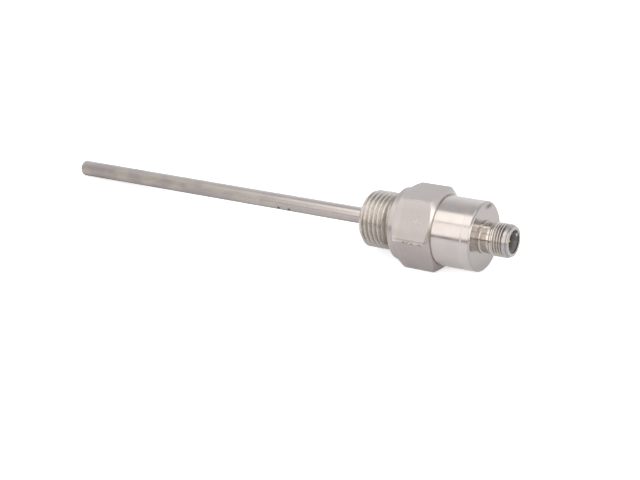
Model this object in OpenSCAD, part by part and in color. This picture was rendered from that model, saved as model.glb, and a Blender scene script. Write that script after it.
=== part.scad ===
// Resistance thermometer probe with a screw-in fitting, a round head and a four-pin plug.
// The axis lies along X: the sheath runs towards -X, the plug towards +X, one flat of the
// hexagon faces up. The origin is on the axis, in the sealing face of the collar.

/* [Sheath] */
// Outside diameter of the sheath tube
sheath_d = 6; // [5.5:0.1:8]
// Wall thickness of the sheath tube
sheath_wall = 0.5; // [0.3:0.05:0.7]
// Insertion length, from the sealing face to the tip
insertion_l = 150; // [80:1:400]
// Diameter ground off the tube where it sits in the fitting
seat_relief = 0.4; // [0.2:0.05:0.5]
// Length of tube that stands past its seat, inside the fitting
sheath_stub_l = 2; // [1:0.5:4]
// Radius on the outer edge of the closed tip
tip_r = 0.8; // [0.3:0.1:1.2]
// Thickness of the tip plug's head
tip_head_t = 1.4; // [1.3:0.1:3]
// Depth of the tip plug's spigot in the tube
tip_spigot_l = 2; // [1:0.5:4]

/* [Process thread] */
// Major diameter of the pipe thread
thread_d = 20.955; // [18:0.001:22]
// Pitch of the pipe thread
thread_pitch = 1.814; // [1:0.001:2.309]
// Length from the sealing face to the front of the thread
thread_l = 14; // [10:0.5:24]
// Width of the relief between the thread and the collar
thread_relief_l = 2.75; // [1.5:0.05:4]
// Depth of the relief below the thread's root
relief_drop = 0.1; // [0.05:0.05:0.4]
// Chamfer on the front of the thread
thread_chamfer = 1.7; // [0.8:0.1:2]

/* [Collar and hexagon] */
// Width across the flats of the hexagon
hex_af = 27; // [27:0.5:32]
// Length of the hexagon
hex_l = 14.35; // [9:0.05:20]
// Slope of the hexagon's rear chamfer, from its end face
hex_slope = 30; // [20:1:40]
// Distance that the hexagon's rear face lies inside its flats
hex_face_inset = 0.1; // [0.05:0.05:0.6]
// Slope of the hexagon's front chamfer, from its end face
hex_front_slope = 37; // [20:1:40]
// Distance that the front chamfer starts outside the flats, which keeps a straight edge on each
hex_front_land = 0.25; // [0.1:0.05:0.6]
// Thickness of the round collar
collar_t = 2.3; // [1.5:0.1:4]
// Distance that the collar lies inside the flats
collar_inset = 0.35; // [0.1:0.05:0.8]
// Chamfer on the collar's front edge
collar_chamfer = 0.25; // [0.1:0.05:0.5]

/* [Housing] */
// Outside diameter of the housing
housing_d = 25.2; // [24:0.1:26.4]
// Length of the housing, from its front edge to its end face
housing_l = 14.63; // [12:0.01:30]
// Wall of the housing sleeve
housing_wall = 1.4; // [1.2:0.1:2]
// Wall of the sleeve where it slips over the fitting's spigot
seat_wall = 1; // [0.7:0.1:1.1]
// Gap between the hexagon and the front edge of the housing
joint_gap = 0.72; // [0.3:0.02:1.5]
// Depth to which the spigot enters the sleeve
spigot_seat_l = 5; // [3:0.1:6.5]
// Thickness of the end cover's head
cover_t = 3.4; // [2.8:0.1:5]
// Depth to which the end cover's spigot enters the sleeve
cover_seat_l = 2; // [1:0.1:3]
// Wall of the end cover's spigot
cover_spigot_wall = 1.6; // [1:0.1:2.5]
// Chamfer on the edge of the end face
cover_chamfer = 0.5; // [0.2:0.1:1]
// Diameter of the wire space in the fitting
wire_space_d = 13; // [11:0.5:16]
// Length of the seat that holds the sheath behind the sealing face
sheath_seat_l = 6; // [3:0.5:8]

/* [Plug] */
// Major diameter of the plug's thread
plug_d = 12; // [11.6:0.1:13]
// Pitch of the plug's thread
plug_pitch = 1; // [0.75:0.05:1.5]
// Length of the plug in front of the end face
plug_l = 11.1; // [10:0.1:14]
// Diameter of the smooth neck behind the thread
neck_d = 11; // [10.8:0.1:11.4]
// Length of the smooth neck
neck_l = 3.4; // [2:0.1:4]
// Diameter of the foot ring that rests on the end face
foot_d = 11.5; // [11.2:0.1:13]
// Thickness of the foot ring
foot_t = 0.6; // [0.4:0.1:1]
// Diameter of the shell's spigot in the end cover
shell_spigot_d = 10.9; // [10.6:0.1:11]
// Length of the plain collar in front of the thread
nose_collar_l = 1.3; // [1:0.1:2]
// Length of the narrow nose in front of that collar, with the cone that leads to it
nose_l = 1.1; // [0.9:0.1:1.5]
// Diameter of the narrow nose
nose_d = 11; // [10.4:0.1:11.4]
// Chamfer on the front edge of the nose
nose_chamfer = 0.2; // [0.1:0.05:0.3]
// Thickness of the lip that stops the insert
lip_t = 0.6; // [0.4:0.1:1]
// Diameter of the shell's bore behind the lip
shell_bore_d = 9.4; // [9:0.1:9.6]
// Diameter of the socket inside the plug
socket_d = 8.4; // [8:0.1:8.6]
// Depth of the socket from the plug's front
socket_depth = 8.5; // [8:0.1:9.5]
// Thickness of the insert's floor
insert_floor_t = 4; // [3.5:0.1:5]
// Width of the coding key in the socket
key_w = 1.1; // [0.8:0.1:1.6]
// Height of the coding key above the socket's wall
key_h = 0.7; // [0.4:0.1:0.9]
// Turn of the coding key about the axis, from +Y towards +Z
key_angle = 17.5; // [0:0.5:90]
// Cord diameter of the O-ring round the insert
o_ring_cord = 0.7; // [0.5:0.05:0.9]
// Length of the press ring behind the insert
press_ring_l = 1; // [0.6:0.1:1.5]
// Wall of the press ring
press_ring_wall = 0.8; // [0.5:0.1:1]

/* [Contact pins] */
// Diameter of a contact pin
pin_d = 1; // [0.8:0.05:1.1]
// Diameter of the circle that the pins stand on
pin_circle_d = 5; // [4.6:0.1:5.2]
// Distance of the pin tips behind the plug's front
pin_recess = 2.5; // [1.5:0.1:4]
// Diameter of the pin's shoulder and solder cup
cup_d = 1.4; // [1.3:0.05:1.6]
// Length of the shoulder inside the insert
pin_shoulder_l = 1.4; // [0.8:0.1:2]
// Length of the solder cup behind the insert
cup_l = 3; // [2.4:0.1:4]
// Depth of the hole in the solder cup
cup_depth = 2; // [1.5:0.1:2.2]
// Wall of the shrink sleeve on a solder cup
shrink_wall = 0.25; // [0.15:0.05:0.4]
// Length of a shrink sleeve
shrink_l = 4.6; // [3.5:0.1:5]

/* [Leads and sensor] */
// Diameter of a lead wire over its insulation
wire_d = 0.9; // [0.6:0.05:1]
// Diameter of the bare conductor
core_d = 0.5; // [0.3:0.05:0.52]
// Diameter of the circle that the wires lie on in the sheath
wire_circle_d = 2.3; // [2:0.05:2.4]
// Length of the sensor chip
chip_l = 5; // [2:0.1:8]
// Width of the sensor chip
chip_w = 2; // [1.2:0.1:2.5]
// Thickness of the sensor chip
chip_t = 0.65; // [0.4:0.05:1.3]
// Height of the glaze bead on the chip
bead_h = 0.4; // [0.3:0.05:0.6]
// Distance from the tip plug to the chip
chip_gap = 0.8; // [0.3:0.1:3]
// Diameter of the chip's own leads
chip_lead_d = 0.24; // [0.15:0.01:0.26]
// Free length of the chip's own leads
chip_lead_l = 5; // [3:0.5:10]
// Outside diameter of a splice tube
splice_d = 1.4; // [1.3:0.05:1.5]
// Bore of a splice tube
splice_bore_d = 1.12; // [1.1:0.01:1.2]
// Length of a splice tube
splice_l = 4; // [3:0.5:8]
// Length over which the bare conductors spread from splice to wire
spread_l = 3; // [2:0.5:6]
// Wall of the insulating sleeve round the sensor
sensor_sleeve_wall = 0.25; // [0.15:0.05:0.4]
// Length of the lead wires inside the filling, past the spread
wire_grip_l = 3; // [1:0.5:10]
// Depth of the guide bush in the end of the sheath
bush_seat_l = 4; // [2:0.5:6]
// Thickness of the guide bush's flange
bush_flange_t = 1; // [0.5:0.1:2]
// Distance between the guide bush and the resin
resin_gap = 0.5; // [0.2:0.1:1]
// Length of the resin seal in the fitting
resin_l = 11; // [5:0.5:11.5]

/* [Fits] */
// Radial clearance between a part and the bore it slips into
slip = 0.03; // [0.02:0.01:0.05]

/* [Hidden] */
$fn = 96;
wire_fn = 24;
bunching = 1.04;
eps = 0.01;
past = 1;
WIRES = [1, 2, 3, 4];

// Height of the truncated thread form over its pitch, and share of the pitch at crest and root
thread_h = 0.6403;
thread_flat = 0.125;

hex_x = collar_t;
hex_end_x = hex_x + hex_l;
hex_corner_r = hex_af / 2 / cos(30);
collar_r = hex_af / 2 - collar_inset;
hex_face_r = hex_af / 2 - hex_face_inset;
hex_front_r = hex_af / 2 + hex_front_land;

sheath_r = sheath_d / 2;
sheath_bore_r = sheath_r - sheath_wall;
sheath_seat_r = sheath_r - seat_relief / 2;
sheath_end_x = sheath_seat_l + sheath_stub_l;
tip_x = -insertion_l;
tip_shoulder_x = tip_x + tip_head_t;
tip_spigot_x = tip_shoulder_x + tip_spigot_l;

housing_x = hex_end_x + joint_gap;
housing_end_x = housing_x + housing_l;
housing_bore_r = housing_d / 2 - housing_wall;
housing_seat_r = housing_d / 2 - seat_wall;
spigot_r = housing_seat_r - slip;
spigot_end_x = housing_x + spigot_seat_l;
cover_x = housing_end_x - cover_t;
cover_spigot_r = housing_bore_r - slip;
cover_spigot_x = cover_x - cover_seat_l;
shell_spigot_r = shell_spigot_d / 2;

plug_x = housing_end_x;
plug_end_x = plug_x + plug_l;
lip_x = plug_end_x - lip_t;
socket_x = plug_end_x - socket_depth;
insert_x = socket_x - insert_floor_t;
insert_r = shell_bore_d / 2 - slip;
press_ring_x = insert_x - press_ring_l;
o_ring_x = (insert_x + socket_x) / 2;
o_ring_seat_r = shell_bore_d / 2 - o_ring_cord;

pin_r = pin_circle_d / 2;
pin_tip_x = plug_end_x - pin_recess;
cup_x = insert_x - cup_l;
wire_end_x = cup_x - slip;
shrink_x = insert_x - slip - shrink_l;
pin_angle = key_angle - 45;

wire_r = wire_circle_d / 2;
wire_xy = wire_r * cos(45);
chip_x = tip_spigot_x + chip_gap;
chip_end_x = chip_x + chip_l;
splice_x = chip_end_x + chip_lead_l / 2;
splice_end_x = splice_x + splice_l;
wire_start_x = splice_end_x + spread_l;
filling_end_x = wire_start_x + wire_grip_l;
chip_lead_y = wire_xy - splice_bore_d / 2 + chip_lead_d / 2 + slip;
core_z = core_d / 2 + slip / 2;
bush_x = sheath_end_x - bush_seat_l;
bush_end_x = sheath_end_x + bush_flange_t;
resin_x = bush_end_x + resin_gap;
resin_end_x = resin_x + resin_l;

// Turns a profile of [x, radius] points about the X axis
module turned(points) {
    rotate([0, 90, 0])
        rotate([0, 0, 180])
            rotate_extrude()
                polygon([for (p = points) [p[1], p[0]]]);
}

// A plain cylinder on the X axis from x0 to x1
module rod(x0, x1, r, fn = $fn) {
    translate([x0, 0, 0])
        rotate([0, 90, 0])
            cylinder(h = x1 - x0, r = r, $fn = fn);
}

// A tube on the X axis from x0 to x1
module tube(x0, x1, r, bore_r) {
    difference() {
        rod(x0, x1, r);
        rod(x0 - past, x1 + past, bore_r);
    }
}

// Places its children on the pins' circle, in line with pin i
module at_pin(i, r) {
    rotate([pin_angle + 90 * i, 0, 0])
        translate([0, r, 0])
            children();
}

// Round bar of radius r through a list of points; the bar bunches a little at each bend
module bent_bar(points, r) {
    for (i = [1 : len(points) - 1]) {
        run = points[i] - points[i - 1];
        translate(points[i - 1])
            rotate([0, acos(run[2] / norm(run)), atan2(run[1], run[0])])
                cylinder(h = norm(run), r = r, $fn = wire_fn);
    }
    for (i = [1 : 1 : len(points) - 2])
        translate(points[i])
            sphere(r = r * bunching, $fn = wire_fn);
}

// One ring of thread: the points of a truncated V that rises from the root at x
function thread_ring(x, pitch, root_r, crest_r) = [
    [x + pitch * thread_flat / 2, root_r],
    [x + pitch * (0.5 - thread_flat / 2), crest_r],
    [x + pitch * (0.5 + thread_flat / 2), crest_r],
    [x + pitch * (1 - thread_flat / 2), root_r]
];

// Outline of a thread between x0 and x1, with whole rings that end at x1
function thread_outline(x0, x1, pitch, crest_r) =
    let (n = floor((x1 - x0) / pitch), start = x1 - n * pitch)
    [for (i = [0 : n - 1], p = thread_ring(start + i * pitch, pitch, crest_r - thread_h * pitch, crest_r)) p];

// Straight drawn tube; its rear end is ground down to sit in the fitting
module sheath_tube() {
    color([0.74, 0.73, 0.71])
        difference() {
            union() {
                rod(tip_shoulder_x, -thread_l, sheath_r);
                rod(-thread_l - eps, sheath_end_x, sheath_seat_r);
            }
            rod(tip_shoulder_x - past, sheath_end_x + past, sheath_bore_r);
        }
}

// Turned plug, welded into the tube's end, with a rounded outer edge
module tip_plug() {
    color([0.72, 0.71, 0.69])
        rotate([0, -90, 0])
            translate([0, 0, -tip_shoulder_x])
                rotate_extrude() {
                    translate([0, -tip_spigot_l])
                        square([sheath_bore_r - slip, tip_spigot_l + eps]);
                    intersection() {
                        square([sheath_r, tip_head_t]);
                        union() {
                            square([sheath_r, tip_head_t - tip_r]);
                            square([sheath_r - tip_r, tip_head_t]);
                            translate([sheath_r - tip_r, tip_head_t - tip_r])
                                circle(r = tip_r);
                        }
                    }
                }
}

// Ceramic chip with a domed glass bead over the roots of its leads
module sensor_chip() {
    bead_l = chip_l / 3;
    bead_curve_r = (bead_l * bead_l / 4 + bead_h * bead_h) / (2 * bead_h);
    color([0.93, 0.93, 0.9])
        rotate([key_angle, 0, 0]) {
            translate([chip_x, -chip_w / 2, -chip_t / 2])
                cube([chip_l, chip_w, chip_t]);
            intersection() {
                translate([chip_end_x - bead_l / 2, 0, chip_t / 2 + bead_h - bead_curve_r])
                    rotate([90, 0, 0])
                        cylinder(h = chip_w - bead_h, r = bead_curve_r, center = true);
                translate([chip_end_x - bead_l, -chip_w / 2, 0])
                    cube([bead_l, chip_w, chip_t / 2 + bead_h + eps]);
            }
        }
}

// The chip's two thin leads, one to each splice
module chip_leads() {
    color([0.8, 0.79, 0.76])
        rotate([key_angle, 0, 0])
            for (side = [-1, 1])
                translate([0, side * chip_lead_y, 0])
                    rod(chip_end_x, splice_x + splice_l / 2, chip_lead_d / 2, wire_fn);
}

// Crimped tube that joins one chip lead to two conductors
module splice_tube(side) {
    color([0.78, 0.77, 0.74])
        rotate([key_angle, 0, 0])
            translate([0, side * wire_xy, 0])
                tube(splice_x, splice_end_x, splice_d / 2, splice_bore_d / 2);
}

// Thin insulating sleeve between the sensor and the sheath
module sensor_sleeve() {
    color([0.78, 0.5, 0.16])
        tube(tip_spigot_x, filling_end_x, sheath_bore_r - slip,
            sheath_bore_r - slip - sensor_sleeve_wall);
}

// Heat-conducting cement round the chip, the splices and the ends of the wires
module tip_filling() {
    filling_r = sheath_bore_r - 2 * slip - sensor_sleeve_wall;
    color([0.86, 0.85, 0.82])
        difference() {
            rod(tip_spigot_x, filling_end_x, filling_r);
            sensor_chip();
            chip_leads();
            for (side = [-1, 1]) {
                rotate([key_angle, 0, 0])
                    translate([0, side * wire_xy, 0])
                        rod(splice_x, splice_end_x, splice_d / 2);
            }
            for (i = WIRES)
                lead_wire(i);
        }
}

// Stripped end in a splice, straight run in the sheath, a slant out to the pin circle, and
// a stripped end in the solder cup
module lead_wire(i) {
    side = i == 1 || i == 4 ? 1 : -1;
    level = i == 1 || i == 2 ? 1 : -1;
    core_r = core_d / 2;
    color(i % 2 == 1 ? [0.8, 0.12, 0.1] : [0.92, 0.91, 0.88]) {
        rotate([key_angle, 0, 0])
            translate([0, side * wire_xy, 0])
                bent_bar([
                    [splice_x + splice_l / 2, 0, level * core_z],
                    [splice_end_x + core_d, 0, level * core_z],
                    [wire_start_x, 0, level * wire_xy],
                    [wire_start_x + wire_d, 0, level * wire_xy]
                ], core_r);
        at_pin(i, 0)
            bent_bar([
                [wire_start_x, wire_r, 0],
                [bush_end_x + wire_d, wire_r, 0],
                [wire_end_x - wire_d, pin_r, 0],
                [wire_end_x, pin_r, 0]
            ], wire_d / 2);
        at_pin(i, pin_r)
            rod(wire_end_x - wire_d / 2, cup_x + cup_depth - slip, core_r, wire_fn);
    }
}

// Flanged bush in the sheath's end with a hole for each wire
module guide_bush() {
    color([0.95, 0.95, 0.93])
        difference() {
            union() {
                rod(bush_x, sheath_end_x, sheath_bore_r - slip);
                rod(sheath_end_x, bush_end_x, sheath_seat_r);
            }
            for (i = WIRES)
                at_pin(i, wire_r)
                    rod(bush_x - past, bush_end_x + past, wire_d / 2 + slip, wire_fn);
        }
}

// Turned and milled in one piece: thread, collar, hexagon and the spigot for the housing
module process_fitting() {
    thread_r = thread_d / 2;
    relief_r = thread_r - thread_h * thread_pitch - relief_drop;
    front_x = -thread_l;
    color([0.72, 0.7, 0.68])
        difference() {
            union() {
                turned(concat(
                    [[front_x, 0], [front_x, relief_r]],
                    thread_outline(front_x, -thread_relief_l, thread_pitch, thread_r),
                    [
                        [-thread_relief_l, relief_r],
                        [0, relief_r],
                        [0, collar_r - collar_chamfer],
                        [collar_chamfer, collar_r],
                        [collar_t + eps, collar_r],
                        [collar_t + eps, spigot_r],
                        [spigot_end_x, spigot_r],
                        [spigot_end_x, 0]
                    ]
                ));
                hexagon();
            }
            thread_lead_in(front_x, thread_r);
            rod(front_x - past, sheath_seat_l + past, sheath_seat_r + slip);
            rod(sheath_seat_l, spigot_end_x + past, wire_space_d / 2);
        }
}

// The hexagon with both ends turned to a flat cone; each flat keeps a straight edge at the collar
module hexagon() {
    rise = tan(hex_slope);
    front_rise = tan(hex_front_slope);
    intersection() {
        translate([hex_x, 0, 0])
            rotate([0, 90, 0])
                rotate([0, 0, 30])
                    cylinder(h = hex_l, r = hex_corner_r, $fn = 6);
        turned([
            [hex_x, 0],
            [hex_x, hex_front_r],
            [hex_x + (hex_corner_r + past - hex_front_r) * front_rise, hex_corner_r + past],
            [hex_end_x - (hex_corner_r + past - hex_face_r) * rise, hex_corner_r + past],
            [hex_end_x, hex_face_r],
            [hex_end_x, 0]
        ]);
    }
}

// Ring that cuts the thread's front to a cone
module thread_lead_in(front_x, thread_r) {
    turned([
        [front_x - past, thread_r - thread_chamfer - past],
        [front_x + thread_chamfer + past, thread_r + past],
        [front_x - past, thread_r + past]
    ]);
}

// Resin cast round the wires in the fitting
module resin_seal() {
    color([0.16, 0.17, 0.19])
        difference() {
            rod(resin_x, resin_end_x, wire_space_d / 2 - slip);
            for (i = WIRES)
                lead_wire(i);
        }
}

// Thin-walled sleeve, stepped inside to stop on the end of the fitting's spigot
module housing_sleeve() {
    color([0.8, 0.79, 0.77])
        difference() {
            rod(housing_x, cover_x, housing_d / 2);
            rod(housing_x - past, spigot_end_x, housing_seat_r);
            rod(housing_x - past, cover_x + past, housing_bore_r);
        }
}

// Cap that closes the sleeve, welded round its edge and bored for the plug
module end_cover() {
    r = housing_d / 2;
    color([0.8, 0.79, 0.77])
        difference() {
            turned([
                [cover_spigot_x, 0],
                [cover_spigot_x, cover_spigot_r],
                [cover_x, cover_spigot_r],
                [cover_x, r],
                [housing_end_x - cover_chamfer, r],
                [housing_end_x, r - cover_chamfer],
                [housing_end_x, 0]
            ]);
            rod(cover_spigot_x - past, cover_x, cover_spigot_r - cover_spigot_wall);
            rod(cover_spigot_x - past, housing_end_x + past, shell_spigot_r + slip);
        }
}

// Turned shell of the plug: spigot, foot ring, neck, thread, collar and nose
module plug_shell() {
    crest_r = plug_d / 2;
    thread_end_x = plug_end_x - nose_l - nose_collar_l;
    color([0.76, 0.74, 0.71])
        difference() {
            turned(concat(
                [
                    [press_ring_x, 0],
                    [press_ring_x, shell_spigot_r],
                    [plug_x, shell_spigot_r],
                    [plug_x, foot_d / 2],
                    [plug_x + foot_t, foot_d / 2],
                    [plug_x + foot_t, neck_d / 2],
                    [plug_x + neck_l, neck_d / 2]
                ],
                thread_outline(plug_x + neck_l, thread_end_x, plug_pitch, crest_r),
                [
                    [thread_end_x, crest_r],
                    [thread_end_x + nose_collar_l, crest_r],
                    [thread_end_x + nose_collar_l + (crest_r - nose_d / 2), nose_d / 2],
                    [plug_end_x - nose_chamfer, nose_d / 2],
                    [plug_end_x, nose_d / 2 - nose_chamfer],
                    [plug_end_x, 0]
                ]
            ));
            rod(press_ring_x - past, lip_x, shell_bore_d / 2);
            rod(lip_x - past, plug_end_x + past, socket_d / 2);
        }
}

// Moulded cup that carries the pins, with the coding key on its wall
module plug_insert() {
    color([0.27, 0.26, 0.26])
        difference() {
            union() {
                difference() {
                    rod(insert_x, lip_x, insert_r);
                    rod(socket_x, lip_x + past, socket_d / 2);
                }
                rotate([key_angle, 0, 0])
                    translate([socket_x - eps, socket_d / 2 - key_h, -key_w / 2])
                        cube([lip_x - socket_x + eps, key_h + (insert_r - socket_d / 2) / 2, key_w]);
            }
            for (i = WIRES)
                at_pin(i, pin_r)
                    contact_hole();
            tube(o_ring_x - o_ring_cord / 2 - slip, o_ring_x + o_ring_cord / 2 + slip,
                insert_r + past, o_ring_seat_r);
        }
}

// Stepped hole for one pin and its shoulder
module contact_hole() {
    rod(insert_x - past, socket_x + past, pin_d / 2 + slip, wire_fn * 2);
    rod(insert_x - past, insert_x + pin_shoulder_l, cup_d / 2 + slip, wire_fn * 2);
}

// Seals the insert in the shell
module insert_o_ring() {
    color([0.08, 0.08, 0.08])
        translate([o_ring_x, 0, 0])
            rotate([0, 90, 0])
                rotate_extrude()
                    translate([shell_bore_d / 2 - o_ring_cord / 2, 0])
                        circle(d = o_ring_cord - slip, $fn = 32);
}

// Ring pressed in behind the insert to hold it against the lip
module press_ring() {
    color([0.78, 0.74, 0.6])
        tube(press_ring_x, insert_x, insert_r, insert_r - press_ring_wall);
}

// Gilt pin with a domed tip, a shoulder and a solder cup
module contact_pin(i) {
    r = pin_d / 2;
    color([0.86, 0.68, 0.3])
        at_pin(i, pin_r)
            difference() {
                union() {
                    rod(insert_x, pin_tip_x - r, r, wire_fn * 2);
                    translate([pin_tip_x - r, 0, 0])
                        sphere(r = r, $fn = wire_fn * 2);
                    rod(cup_x, insert_x + pin_shoulder_l, cup_d / 2, wire_fn * 2);
                }
                rod(cup_x - past, cup_x + cup_depth, core_d / 2 + slip, wire_fn * 2);
            }
}

// Shrunk insulation over a solder cup and the start of its wire
module shrink_sleeve(i) {
    color([0.1, 0.1, 0.12])
        at_pin(i, pin_r)
            tube(shrink_x, insert_x - slip, cup_d / 2 + slip + shrink_wall, cup_d / 2 + slip);
}

sheath_tube();
tip_plug();
sensor_chip();
chip_leads();
splice_tube(1);  // splice_tube_1
splice_tube(-1);  // splice_tube_2
sensor_sleeve();
tip_filling();
lead_wire(1);  // lead_wire_1
lead_wire(2);  // lead_wire_2
lead_wire(3);  // lead_wire_3
lead_wire(4);  // lead_wire_4
guide_bush();
process_fitting();
resin_seal();
housing_sleeve();
end_cover();
plug_shell();
plug_insert();
insert_o_ring();
press_ring();
contact_pin(1);  // contact_pin_1
contact_pin(2);  // contact_pin_2
contact_pin(3);  // contact_pin_3
contact_pin(4);  // contact_pin_4
shrink_sleeve(1);  // shrink_sleeve_1
shrink_sleeve(2);  // shrink_sleeve_2
shrink_sleeve(3);  // shrink_sleeve_3
shrink_sleeve(4);  // shrink_sleeve_4
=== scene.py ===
# A screw-in temperature probe lying on a pale table: a closed straight sheath, a G 1/2 fitting
# with a hexagon, a short round head and a four-pin M12 plug. The probe's values are in millimetres
# along its own axis X, from the fitting's sealing face; the camera and the studio are in metres.
import math

import bmesh
import bpy
import numpy as np
from mathutils import Matrix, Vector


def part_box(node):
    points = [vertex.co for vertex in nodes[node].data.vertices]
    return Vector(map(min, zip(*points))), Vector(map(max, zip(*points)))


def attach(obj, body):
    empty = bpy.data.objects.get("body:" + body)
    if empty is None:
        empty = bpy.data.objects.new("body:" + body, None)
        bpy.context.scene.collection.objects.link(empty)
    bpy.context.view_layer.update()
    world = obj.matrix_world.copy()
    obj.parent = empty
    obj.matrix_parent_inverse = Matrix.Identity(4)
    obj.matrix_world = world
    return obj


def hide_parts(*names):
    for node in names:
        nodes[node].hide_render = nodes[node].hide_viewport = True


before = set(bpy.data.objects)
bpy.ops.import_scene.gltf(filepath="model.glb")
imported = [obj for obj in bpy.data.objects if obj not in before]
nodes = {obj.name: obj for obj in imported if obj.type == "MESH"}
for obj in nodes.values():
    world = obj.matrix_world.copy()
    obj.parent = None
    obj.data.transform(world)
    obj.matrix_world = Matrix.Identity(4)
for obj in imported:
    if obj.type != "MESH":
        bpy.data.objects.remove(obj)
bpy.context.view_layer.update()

MM = 0.001
scene = bpy.context.scene
scene.view_settings.view_transform = "Standard"


# ---- Camera -------------------------------------------------------------------------------
# A long lens at about half a metre, on the plug's side of the probe, looking down along it.
camera_place = (0.2512, -0.4288, 0.2101)
camera_right = np.array((0.84435, 0.53117, -0.07020))
camera_up = np.array((-0.15712, 0.37073, 0.91535))
camera_lens, camera_film, camera_nearest = 84.375, 36, 0.01


def stand(thing, axes, place):
    """Puts an object into the scene at a place, its own X, Y and Z along three unit vectors."""
    pose = np.eye(4)
    pose[:3, :3] = np.stack(axes)
    pose[3, :3] = place
    thing.matrix_world = Matrix(pose.T)
    scene.collection.objects.link(thing)


camera_data = bpy.data.cameras.new("camera")
camera_data.lens = camera_lens
camera_data.sensor_width = camera_film
camera_data.clip_start = camera_nearest
camera = bpy.data.objects.new("camera", camera_data)
right = camera_right / np.linalg.norm(camera_right)
back = np.cross(right, camera_up)
back /= np.linalg.norm(back)
stand(camera, (right, np.cross(back, right), back), camera_place)
scene.camera = camera


# ---- Table and studio ---------------------------------------------------------------------
# The probe lies on a pale matt table as it comes to rest, on the edge of a flat of the hexagon
# and on the rounded tip, so it leans a little in the probe's own frame. It ends a little in front
# of the probe, and the gap before the front softbox is mirrored in the steel as a dark line.
#
# Every finish here, from the table's to the pins', is a tree of nodes written as sums.
class Signal:
    """A number or colour on its way through a tree of nodes. + - * ** and abs() on numbers and
    other signals add Math nodes."""

    def __init__(self, finish, socket):
        self.finish, self.socket = finish, socket

    def maths(self, operation, *values):
        return self.finish.add("Math", {"operation": operation}, dict(enumerate(values)))

    def __add__(self, other):
        return self.maths("ADD", self, other)

    def __sub__(self, other):
        return self.maths("SUBTRACT", self, other)

    def __rsub__(self, other):
        return self.maths("SUBTRACT", other, self)

    def __mul__(self, other):
        return self.maths("MULTIPLY", self, other)

    def __pow__(self, other):
        return self.maths("POWER", self, other)

    def __abs__(self):
        return self.maths("ABSOLUTE", self)

    __radd__, __rmul__ = __add__, __mul__

    def ramp(self, low, high, start=0.0, end=1.0):
        """Goes smoothly from start to end while the signal goes from low to high."""
        kind = {"interpolation_type": "SMOOTHSTEP"}
        ends = {"From Min": low, "From Max": high, "To Min": start, "To Max": end}
        return self.finish.add("MapRange", kind, {"Value": self, **ends})

    def near(self, centre, width):
        """1 at the centre, falling smoothly to 0 at the width on both sides."""
        return abs(self - centre).ramp(0, width, 1, 0)


class Finish:
    """The tree of nodes of a material, a lamp or the world: add() makes any node in it, and
    close() joins its shader to the output."""

    def __init__(self, tree):
        self.tree = tree
        tree.nodes.clear()

    def add(self, kind, settings=(), values=(), out=0):
        """One node from its type, its settings and its inputs; stops are a ramp's colours."""
        node = self.tree.nodes.new("ShaderNode" + kind)
        for key, value in dict(settings).items():
            if key == "stops":
                bar = node.color_ramp.elements
                while len(bar) < len(value):
                    bar.new(1.0)
                for stop, (place, colour) in zip(bar, value):
                    stop.position, stop.color = place, (*colour, 1)
            else:
                setattr(node, key, value)
        for key, value in dict(values).items():
            socket = node.inputs[key]
            if isinstance(value, Signal):
                self.tree.links.new(value.socket, socket)
            elif socket.type == "RGBA":
                socket.default_value = (*value, 1)
            else:
                socket.default_value = value
        return Signal(self, node.outputs[out]) if node.outputs else None

    def blend(self, share, first, second):
        """The colour between first and second, by a share from 0 to 1."""
        return self.add("Mix", {"data_type": "RGBA"}, {0: share, 6: first, 7: second}, out=2)

    def layers(self, tint, tints, shares):
        """The tint with others laid over it in turn: shares gives each one's share, from 0 to 1,
        under the name that it has in tints."""
        for name, share in shares.items():
            tint = self.blend(share, tint, tints[name])
        return tint

    def noise(self, place, scale, detail=2.0, rough=0.5):
        """Smooth noise from 0 to 1 about 0.5, with scale features a millimetre."""
        values = {"Vector": place, "Scale": scale, "Detail": detail, "Roughness": rough}
        return self.add("TexNoise", values=values)

    def vector(self, x, y, z):
        """A place put together from three numbers."""
        return self.add("CombineXYZ", values={0: x, 1: y, 2: z})

    def place(self):
        """The point on the piece in millimetres, and its three parts."""
        spot = self.add("TexCoord", out="Object")
        spot = self.add("VectorMath", {"operation": "SCALE"}, {0: spot, "Scale": 1 / MM})
        return spot, self.parts(spot)

    def parts(self, vector):
        """The three numbers of a vector."""
        split = self.tree.nodes.new("ShaderNodeSeparateXYZ")
        self.tree.links.new(vector.socket, split.inputs[0])
        return [Signal(self, output) for output in split.outputs]

    def close(self, shader, kind="OutputMaterial"):
        self.add(kind, values={"Surface": shader})


# table_touch is on the front edge of the hexagon's lower flat.
table_lean = math.radians(3.97)
table_touch = np.array((2.3, 0, -13.5)) * MM
table_half, table_front = 1.6, 0.2
table_colour, white = (0.80, 0.805, 0.82), (1, 1, 1)
table_fill_seen, table_fill_mirrored = 0.61, 0.17

along = np.array((math.cos(table_lean), 0, -math.sin(table_lean)))
table_up = np.array((math.sin(table_lean), 0, math.cos(table_lean)))
across = np.array((0, 1.0, 0))
edges = np.array(((-table_half, -table_front), (table_half, -table_front),
                  (table_half, table_half), (-table_half, table_half)))
corners = table_touch + edges @ np.stack((along, across))
table_mesh = bpy.data.meshes.new("table")
table_mesh.from_pydata([list(c) for c in corners], [], [(0, 1, 2, 3)])
table = bpy.data.objects.new("table", table_mesh)
scene.collection.objects.link(table)

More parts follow.
